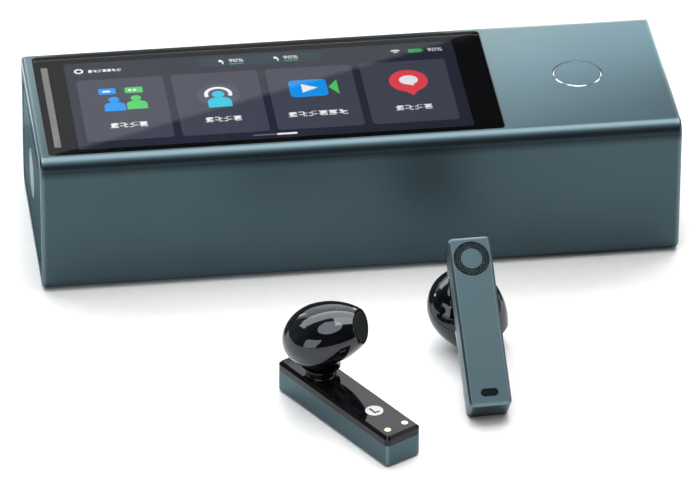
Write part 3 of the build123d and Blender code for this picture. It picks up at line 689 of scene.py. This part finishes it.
def displayStack():
    low, high = boxMm("display_panel")
    panel = plates([spreadRect(low, high, 0, screen["panelCorner"])], low.z, level("field")[0])
    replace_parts(linkPiece("displayPanel", panel, "case", finishes["screen"]), "display_panel")
    left, right, front, back = (screen[key] for key in ("left", "right", "front", "back"))
    spare = screen["fieldSpare"]
    layerPiece("screenField", [roundedRect(left - spare, right + spare, front - spare, back + spare,
            screen["fieldCorner"])], "field", "field")
    low, high = boxMm("cover_glass")
    bar = boxMm("light_bar")
    printed = low.z + screen["printInset"] / 2
    printed = (printed, printed + screen["printThickness"])
    border = [spreadRect(low, high, -screen["printInset"], screen["printCorner"]),
            roundedRect(left, right, front, back, screen["windowCorner"]),
            spreadRect(*bar, 0, screen["barCorner"])]
    linkPiece("glassPrint", plates(border, *printed), "case", finishes["window_black"])
    # a dark ring in the gap round the glass, standing in for the gap's shade as painted shade
    gap = screen["shadeRingGap"]
    width = screen["shadeRingWidth"]
    shadeRing = [spreadRect(low, high, gap + width, screen["shadeRingCorner"] + width),
            spreadRect(low, high, gap, screen["shadeRingCorner"])]
    linkPiece("glassShadeRing", plates(shadeRing, low.z, high.z - screen["shadeRingDrop"]), "case",
            finishes["rubber"])
    window = plates([spreadRect(*bar, -screen["barInset"], screen["barCorner"])], *printed)
    linkPiece("lightBarWindow", window, "case", finishes["light_bar"])


def cardRow():
    depth = screen["cardBack"] - screen["cardFront"]
    start = ((screen["cardLeft"] + screen["cardWidth"] / 2) * mm, (screen["cardFront"] + depth / 2) * mm,
            level("cards")[0] * mm)
    sizes = {"Width": screen["cardWidth"], "Depth": depth, "Corner": screen["cardCorner"],
        "Thickness": screen["layer"], "Pitch": screen["cardPitch"]}
    mesh = grown("row", sizes, Matrix.Translation(start), Count=screen["cardCount"], Material=glow["card"])
    linkPiece("screenCards", mesh, "case", None)


def person(cx, front, width, headRadius):
    # a plain bust: round head over rounded shoulders
    shoulders = front + width * 0.8
    rounding = width * 0.35
    body = [(cx + width / 2, front), (cx + width / 2, shoulders - rounding)]
    body += arc(cx, shoulders - rounding, width / 2, rounding, 0, 180, 16)[1:]
    body += [(cx - width / 2, front)]
    return [body, arc(cx, shoulders + headRadius * 0.9, headRadius, headRadius)]


# shares of the width and height of a group of bars
wordShape = dict(rows=4, width=0.86, insets=(0.0, 0.34, 0.14, 0.44), bar=0.42, barRound=0.15,
    posts=(0.16, 0.5, 0.3), post=0.1, postLow=0.5, postHigh=0.7, postRound=0.1)


def wordBars(x0, x1, y0, y1, count):
    # a word told by small groups of bars and posts, which form no letters
    shape = wordShape
    step = (x1 - x0) / count
    rise = (y1 - y0) / shape["rows"]
    bars = []
    for k in range(count):
        left = x0 + k * step
        right = left + step * shape["width"]
        for row in range(shape["rows"]):
            inset = step * shape["insets"][(k * 3 + row * 2 + k // 2) % 4]
            low = y0 + row * rise
            sides = (left + inset, right) if (row + k) % 2 else (left, right - inset)
            bars.append(roundedRect(*sides, low, low + rise * shape["bar"], rise * shape["barRound"], 2))
        post = left + step * shape["posts"][k % 3]
        bars.append(roundedRect(post, post + step * shape["post"], y0 + rise * shape["postLow"],
                y1 - rise * shape["postHigh"], rise * shape["postRound"], 2))
    return bars


def gearOutline(cx, cy, outer, inner, teeth):
    outline = []
    for k in range(teeth * 4):
        reach = outer if k % 4 in (0, 1) else inner
        turn = 2 * math.pi * (k + 0.5) / (teeth * 4)
        outline.append((cx + reach * math.cos(turn), cy + reach * math.sin(turn)))
    return outline


def bubble(cx, cy, rx, ry, tip):
    # a round speech bubble whose outline runs out to the tip of its tail
    return arc(cx, cy, rx, ry, -66, 256, 40) + [tip]


def cardIcons():
    blue = person(-43.45, -2.5, 3.9, 1.0) + [roundedRect(-46.0, -42.8, 3.6, 5.6, 0.35)]
    green = person(-39.35, -2.2, 3.8, 0.95) + [roundedRect(-41.1, -37.8, 3.6, 5.6, 0.35)]
    blue.append(roundedRect(-10.9, -3.9, -1.6, 4.4, 1.0))
    green.append([(-3.6, 1.4), (-1.9, 3.9), (-1.9, -1.3)])
    layerPiece("iconHalo", [arc(-24.15, 1.1, 3.9, 3.9)], "icons", "halo")
    layerPiece("iconBlue", blue, "icons", "blue")
    layerPiece("iconGreen", green, "icons", "green")
    layerPiece("iconRed", [bubble(11.3, 1.8, 3.6, 3.9, (11.6, -3.4))], "icons", "red")
    layerPiece("iconCyan", person(-24.15, -3.4, 4.4, 1.15), "details", "cyan")
    white = [band(-24.15, 1.2, 2.6, 1.9, -20, 200)]
    white += [roundedRect(-45.3, -43.8, 4.3, 4.8, 0.2), roundedRect(-40.5, -39.9, 4.3, 4.9, 0.2),
            roundedRect(-39.6, -39.0, 4.3, 4.9, 0.2)]
    white += [[(-8.6, 2.9), (-8.6, -0.1), (-5.7, 1.4)], bubble(11.35, 2.1, 1.75, 1.6, (12.1, 0.0))]
    layerPiece("iconWhite", white, "details", "white")


def screenWords():
    # left end, right end and number of groups of the word under each card's icon
    rows = [(-45.0, -37.9, 4), (-27.5, -20.6, 4), (-12.2, -0.9, 6), (7.7, 14.7, 4)]
    words = [bar for x0, x1, count in rows for bar in wordBars(x0, x1, -8.5, -6.6, count)]
    words += wordBars(-47.2, -40.9, 11.75, 12.8, 7)
    layerPiece("screenWords", words, "icons", "white")


def statusLine():
    layerPiece("statusBand", [roundedRect(-26.5, -3.5, 11.3, 14.6, 1.6)], "cards", "teal")
    white = [gearOutline(-48.9, 12.4, 0.92, 0.76, 8), arc(-48.9, 12.4, 0.5, 0.5, steps=16)]
    for x in (-22.2, -11.9):
        white += [arc(x - 0.25, 13.1, 0.34, 0.42, steps=16),
                roundedRect(x + 0.05, x + 0.3, 11.9, 13.0, 0.1, 3)]
    white += [band(10.3, 11.9, 0.75, 0.35, 50, 130), band(10.3, 11.9, 1.4, 1.0, 50, 130)]
    layerPiece("statusIcons", white, "icons", "white")
    green = [roundedRect(-20.9, -18.2, 11.7, 12.0, 0.1, 3), roundedRect(-10.7, -8.0, 11.7, 12.0, 0.1, 3),
            roundedRect(12.7, 15.3, 11.9, 13.2, 0.25, 3), roundedRect(15.4, 15.6, 12.3, 12.8, 0.05, 3)]
    layerPiece("statusGreen", green, "icons", "leaf")
    numbers = [("90%", -19.5, 12.95, 1.15), ("90%", -9.3, 12.95, 1.15), ("90%", 17.7, 12.55, 1.2)]
    low, high = level("icons")
    words = [lettering(body, size, high - low, Matrix.Translation((x * mm, y * mm, (low + high) / 2 * mm)))
            for body, x, y, size in numbers]
    linkPiece("statusNumbers", joined(words), "case", glow["white"])
    layerPiece("homeBar", [roundedRect(-15.1, -11.3, -14.5, -13.9, 0.25, 3)], "icons", "white")
    layerPiece("homeTrace", [roundedRect(-19.4, -15.3, -14.35, -14.05, 0.1, 3)], "icons", "grey")


displayStack()
cardRow()
cardIcons()
screenWords()
statusLine()
print("screen done")


# Grilles, marks and contacts, with sizes in mm

view = dict(azimuth=-7.517, elevation=31.951, roll=0.331, distance=1.35125, lens=371.7,
    sensor=36, pixelsWide=700, pixelsHigh=486, target=Vector((0.000354, 0, -0.006239)))


def cameraAxes():
    a, e, r = (math.radians(view[key]) for key in ("azimuth", "elevation", "roll"))
    back = Vector((math.sin(a) * math.cos(e), -math.cos(a) * math.cos(e), math.sin(e)))
    across = Vector((math.cos(a), math.sin(a), 0))
    upright = back.cross(across)
    right = across * math.cos(r) + upright * math.sin(r)
    up = upright * math.cos(r) - across * math.sin(r)
    return right, up, back


def cameraRay(x, y):
    # from the camera through a place in the picture, in pixels
    right, up, back = cameraAxes()
    pixel = view["sensor"] / view["pixelsWide"] / view["lens"]
    toward = right * (x - view["pixelsWide"] / 2) * pixel - up * (y - view["pixelsHigh"] / 2) * pixel - back
    return view["target"] + back * view["distance"], toward.normalized()


# the radii of a profile are counted from the edge that it goes round
grille = dict(
    nozzle=dict(pitch=0.42, hole=0.14, thickness=0.06, gap=0.06, proud=0.15,
        rim=((-0.3, 0.0), (0, 0.0), (0, 0.1), (-0.08, 0.14), (-0.22, 0.12), (-0.3, 0.08))),
    ring=dict(pitch=0.46, hole=0.13, thickness=0.03, outer=3.4, inner=1.82, proud=0.18, edges=(2.0, 3.12),
        rim=((-0.1, 0.16), (0.1, 0.16), (0.1, 0.22), (0, 0.24), (-0.1, 0.22))),
    speaker=dict(pitch=0.5, hole=0.16, thickness=0.06, halfWidth=5.6, halfDepth=2.9, outer=20.0, behind=0.3))
neck = dict(foot=((-0.3, 0.1), (0, 0.1), (0.02, 0.8), (0.35, 1.25), (0.8, 1.75), (0.8, 1.85), (-0.3, 1.85)),
    line=((-0.15, 0.0), (0.07, 0.0), (0.07, 0.08), (0, 0.15), (-0.15, 0.15)))
mark = dict(height=1.75, thickness=0.02, proud=0.08, bold=0.1)
vent = dict(pixelX=435.0, pixelY=295.0, steps=32,
    rim=((0.12, -0.05), (0.23, -0.05), (0.23, 0.015), (0.20, 0.03), (0.15, 0.03), (0.12, 0.01)))
socket = dict(inset=2.6, rowHeight=0.35, start=2.75, pitch=0.5, count=12, width=0.26,
    length=3.2, corner=0.05, thickness=0.03)


def perforated(kind, halfWidth, halfDepth, outer, inner, where, finish):
    sheet = grille[kind]
    sizes = {"Half Width": halfWidth, "Half Depth": halfDepth, "Outer Radius": outer, "Inner Radius": inner,
            "Pitch": sheet["pitch"], "Hole Radius": sheet["hole"], "Thickness": sheet["thickness"]}
    return grown("perforated", sizes, where, Material=finish)


def budGrilles(side):
    bud = side + "_bud"
    nozzle = grille["nozzle"]
    face = discPlace(bud + "_nozzle_mesh", middle(bud + "_driver"))
    long, short = discReach(bud + "_nozzle_mesh", face) - nozzle["gap"]
    front = face @ Matrix.Translation((0, 0, nozzle["proud"] * mm)) @ Matrix.Diagonal((1, short / long, 1, 1))
    sheet = perforated("nozzle", long, long, long, 0.0, front, finishes["dark_mesh"])
    linkPiece(bud + "_nozzle_grille", sheet, bud, None)
    rim = lathe([(long + r, z) for r, z in nozzle["rim"]], front)
    linkPiece(bud + "_nozzle_rim", rim, bud, finishes["dark_mesh"])
    ring = grille["ring"]
    disc = discPlace(bud + "_mic_ring_mesh", middle(bud + "_neck_ring"))
    sheet = perforated("ring", ring["outer"], ring["outer"], ring["outer"], ring["inner"],
            disc @ Matrix.Translation((0, 0, ring["proud"] * mm)), finishes["ring_black"])
    linkPiece(bud + "_ring_grille", sheet, bud, None)
    rims = joined([lathe([(edge + r, z) for r, z in ring["rim"]], disc) for edge in ring["edges"]])
    linkPiece(bud + "_ring_edges", rims, bud, finishes["ring_black"])


def neckSleeve(side):
    # the black foot of the neck, with a thin bright line where it meets the cover
    name = side + "_bud_neck_ring"
    where = discPlace(name, middle(side + "_bud_mic_ring_mesh"))
    reach = discReach(name, where)[0]
    low = min((where.inverted() @ v.co).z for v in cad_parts[name].data.vertices) / mm
    for ending, slotName, finish in (("foot", "bud_black", "bud_black"), ("line", "steel", "neck_trim")):
        mesh = lathe([(reach + r, low + z) for r, z in neck[ending]], where)
        linkPiece(side + "_bud_neck_" + ending, mesh, side + "_bud", finishes[finish])


def sideMark(side, letter):
    # the ear the bud is for, printed on its round mark
    disc = discPlace(side + "_bud_side_mark", middle(side + "_bud_mic_ring_mesh"))
    up = disc.to_3x3().col[2]
    right = buds[side].to_3x3().col[1]
    right = (right - up * right.dot(up)).normalized()
    where = axesAt(disc.translation + up * mark["proud"] * mm, right, up.cross(right), up)
    word = lettering(letter, mark["height"], mark["thickness"], where, mark["bold"])
    linkPiece(side + "_bud_mark_letter", word, side + "_bud", finishes["window_black"])


def headVent(side):
    # the small vent, where the camera's ray through its place in the picture meets the head
    eye, toward = cameraRay(vent["pixelX"], vent["pixelY"])
    spot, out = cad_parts[side + "_bud_head_base"].ray_cast(eye, toward)[1:3]
    where = Matrix.Translation(spot) @ out.to_track_quat("Z", "Y").to_matrix().to_4x4()
    linkPiece(side + "_bud_vent", lathe(vent["rim"], where, vent["steps"]), side + "_bud",
            finishes["white_mark"])


for side, letter in (("left", "L"), ("right", "R")):
    budGrilles(side)
    neckSleeve(side)
    sideMark(side, letter)
headVent("right")


def socketContacts():
    low, high = boxMm("usb_socket")
    sizes = {"Width": socket["width"], "Depth": socket["length"], "Corner": socket["corner"],
            "Thickness": socket["thickness"], "Pitch": socket["pitch"]}
    for name, up, flip in (("upper", 1, 0), ("lower", -1, 180)):
        spot = Matrix.Translation(((high.x - socket["inset"]) * mm, -up * socket["start"] * mm,
                ((low.z + high.z) / 2 + up * socket["rowHeight"]) * mm))
        mesh = grown("row", sizes, spot @ turnBy(x=flip) @ turnBy(z=90), Count=socket["count"],
            Material=finishes["gold_contact"])
        linkPiece("usb_contacts_" + name, mesh, "case", None)


def speakerGrille():
    speaker = grille["speaker"]
    low, high = boxMm("speaker")
    spot = Matrix.Translation(((high.x - speaker["behind"]) * mm, (low.y + high.y) / 2 * mm,
            (low.z + high.z) / 2 * mm))
    turn = Matrix(((0, 0, 1), (1, 0, 0), (0, 1, 0))).to_4x4()
    sheet = perforated("speaker", speaker["halfWidth"], speaker["halfDepth"], speaker["outer"], 0.0,
            spot @ turn, finishes["dark_mesh"])
    linkPiece("speaker_grille", sheet, "case", None)


socketContacts()
speakerGrille()
print("grilles, marks and contacts done")


# Floor, lights and camera, with distances and sizes in metres where no note says mm

studio = dict(white=(0.965, 0.985, 1.0), topMm=27.6, skyDistance=1.2)
# the sky is dimmer in a round gap that the case's top mirrors, and in front of the object
sky = dict(color=(0.97, 0.985, 1.0, 1), shown=0.84, light=0.15, gapLight=0.03, gap=(16, 7),
    frontLight=0.12, front=(-0.1, 0.3))
# the line in mm on the case's top along which the panel's edge shows
glare = dict(start=(-56.9, -17.7), end=(22.9, 15.9), distance=0.55, ends=0.06, depth=0.16, brightness=0.33)
# the part of the stem's top in mm that shows the card, with its height, and the point the card faces
stemShine = dict(x=(2.0, 28.5), y=(-3.8, 3.8), height=6.2, distance=0.30, spare=0.006,
    toward=(-0.009, -0.071, 0.006), brightness=1.0)
# lowest and highest degree above the back horizon, place along X, width, brightness, shape and colour
skyBoxes = {"backBox": (46, 72, 0, 2.5, 4.0),
    "edgeBox": (72, 101, 0.17, 0.54, 5.8, "RECTANGLE", (1.0, 0.93, 0.88)),
    "headBox": (83, 128, -0.29, 0.84, 3.5, "ELLIPSE")}
# lower left corner, width and height in mm, brightness, lean to the right in degrees, and colour
edgeCards = {"backCardLow": (21.2, 30, 31, 58, 11, 4.6, 14.7, (1.0, 0.90, 0.81)),
    "backCardHigh": (24, 30, 41.6, 58, 15, 3.4, 14.7, (0.90, 0.99, 1.0)),
    "stripCard": (-60.9, 30, 31.5, 8, 32, 3.6, 7.7, (1.0, 0.93, 0.86)),
    "endCard": (-80, 30, 6, 22.5, 22, 1.6)}
headCard = (-42, -20.6, 28.5, 64, 44, 1.35)
# place, direction of the width, width, height and brightness
sideBoxes = {"rightBox": ((0.85, -0.25, 0.45), (0, 1, 0), 0.5, 0.5, 1.2),
    "leftBox": ((-0.66, -0.66, 0.27), (0.7, -0.7, 0), 0.52, 0.5, 2.8)}


def setCamera():
    right, up, back = cameraAxes()
    lens = bpy.data.cameras.new("camera")
    lens.lens = view["lens"]
    lens.sensor_width = view["sensor"]
    lens.clip_start = 0.01
    lens.clip_end = 50
    camera = newObject("camera", lens)
    spot = view["target"] + back * view["distance"]
    camera.matrix_world = axesAt(spot, right, up, back)
    scene.camera = camera
    return spot


def setFloor():
    mesh = bpy.data.meshes.new("floor")
    form = bmesh.new()
    bmesh.ops.create_grid(form, x_segments=8, y_segments=8, size=4.0)
    bmesh.ops.translate(form, verts=form.verts, vec=(0, 0, -0.0001))
    form.to_mesh(mesh)
    form.free()
    floor = newObject("floor", mesh)
    material, tree, shader = startFinish("floorPaper", Roughness=0.9, Specular_IOR_Level=0.1)
    patches = ramp(tree, noise(tree, place(tree), 400.0, 3.0), *pattern["patches"])
    feed(tree, shader, Base_Color=blendColor(tree, patches, (0.93, 0.93, 0.93, 1), (0.96, 0.96, 0.96, 1)))
    mesh.materials.append(material)


def mirrored(eye, x, y, height, distance):
    # where the eye's ray goes after the level surface at that height in mm throws it back
    spot = Vector((x, y, height)) * mm
    ray = (spot - eye).normalized()
    ray.z = -ray.z
    return spot + ray * distance


def softbox(name, spot, toward, across, width, height, brightness, shape="RECTANGLE", color=studio["white"]):
    # brightness is what a mirror would show; across is the direction of the box's width
    facing = (toward - spot).normalized()
    across = (across - facing * across.dot(facing)).normalized()
    light = bpy.data.lights.new(name, "AREA")
    light.shape = shape
    light.color = color
    light.size = width
    light.size_y = height
    light.energy = brightness * math.pi * width * height * (math.pi / 4 if shape == "ELLIPSE" else 1)
    box = newObject(name, light)
    box.matrix_world = axesAt(spot, across, (-facing).cross(across), -facing)
    box.visible_camera = False
    return box


def setWorld(eye):
    world = bpy.data.worlds.new("studio")
    scene.world = world
    world.use_nodes = True
    tree = world.node_tree
    direction = node(tree, "ShaderNodeTexCoord").outputs["Generated"]
    gap = (mirrored(eye, 0, 0, studio["topMm"], 1.0) - Vector((0, 0, studio["topMm"] * mm))).normalized()
    close = vectorCalc(tree, "DOT_PRODUCT", direction, gap, output="Value")
    outer, inner = (math.cos(math.radians(turn)) for turn in sky["gap"])
    seen = ramp(tree, close, outer, inner, sky["light"], sky["gapLight"])
    camera = node(tree, "ShaderNodeLightPath").outputs["Is Camera Ray"]
    front = ramp(tree, parted(tree, direction)[1], *sky["front"], sky["frontLight"], 1.0)
    strength = node(tree, "ShaderNodeMix", {0: camera, 2: times(tree, seen, front),
            3: sky["shown"]}, data_type="FLOAT").outputs[0]
    tree.nodes["Background"].inputs["Color"].default_value = sky["color"]
    feed(tree, tree.nodes["Background"], Strength=strength)


def glarePanel(eye):
    # a panel whose long edge shows in the case's top along the line from start to end
    (x0, y0), (x1, y1) = glare["start"], glare["end"]
    a = mirrored(eye, x0, y0, studio["topMm"], glare["distance"])
    b = mirrored(eye, x1, y1, studio["topMm"], glare["distance"])
    toward = Vector(((x0 + x1) / 2, (y0 + y1) / 2, studio["topMm"])) * mm
    along = (b - a).normalized()
    facing = (toward - (a + b) / 2).normalized()
    outward = along.cross(facing).normalized()
    if outward.z > 0:
        outward.negate()
    spot = (a + b) / 2 + outward * glare["depth"] / 2
    softbox("glare", spot, spot + facing, along, (b - a).length + 2 * glare["ends"], glare["depth"],
            glare["brightness"])


def stemCard(eye):
    # a small card that only the glossy top of the left earbud's stem shows
    corners = [buds["left"] @ Vector((x * mm, y * mm, 0)) for x in stemShine["x"] for y in stemShine["y"]]
    spots = [mirrored(eye, corner.x / mm, corner.y / mm, stemShine["height"], stemShine["distance"])
            for corner in corners]
    spot = sum(spots, Vector()) / 4
    facing = (Vector(stemShine["toward"]) - spot).normalized()
    width = max(s.x for s in spots) - min(s.x for s in spots) + stemShine["spare"]
    upright = Vector((1, 0, 0)).cross(facing).normalized()
    heights = [s.dot(upright) for s in spots]
    softbox("stemCard", spot, spot + facing, Vector((1, 0, 0)), width, max(heights) - min(heights),
            stemShine["brightness"])


def skyBox(name, low, high, x, width, brightness, *look):
    # a box over the object, from one height above the back horizon to another, in degrees
    middleTurn = math.radians((low + high) / 2)
    distance = studio["skyDistance"]
    spot = Vector((x, distance * math.cos(middleTurn), distance * math.sin(middleTurn)))
    height = 2 * distance * math.tan(math.radians((high - low) / 2))
    softbox(name, spot, Vector((x, 0, 0)), Vector((1, 0, 0)), width, height, brightness, *look)


def standingCard(name, x, y, z, width, height, brightness, lean=0.0, color=studio["white"]):
    # a card that shines towards the front; x and z are its lower left corner, and it leans to the right
    lean = math.radians(lean)
    across = Vector((math.cos(lean), 0, -math.sin(lean)))
    upright = Vector((math.sin(lean), 0, math.cos(lean)))
    spot = (Vector((x, y, z)) + across * width / 2 + upright * height / 2) * mm
    return softbox(name, spot, spot - Vector((0, 1, 0)), across, width * mm, height * mm, brightness,
            color=color)


def keepOffGlass(cards):
    # these cards light the metal near the glass, and the glass shows nothing of them from any side
    spared = bpy.data.collections.new("sparedByCards")
    spared.objects.link(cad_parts["cover_glass"])
    spared.collection_objects[0].light_linking.link_state = "EXCLUDE"
    for card in cards:
        card.light_linking.receiver_collection = spared


def setLights(eye):
    glarePanel(eye)
    stemCard(eye)
    for name, values in skyBoxes.items():
        skyBox(name, *values)
    keepOffGlass([standingCard(name, *values) for name, values in edgeCards.items()])
    standingCard("headCard", *headCard)
    for name, (spot, across, *sizes) in sideBoxes.items():
        softbox(name, Vector(spot), Vector(), Vector(across), *sizes)


eyeSpot = setCamera()
setFloor()
setWorld(eyeSpot)
setLights(eyeSpot)
print("floor, lights and camera done")
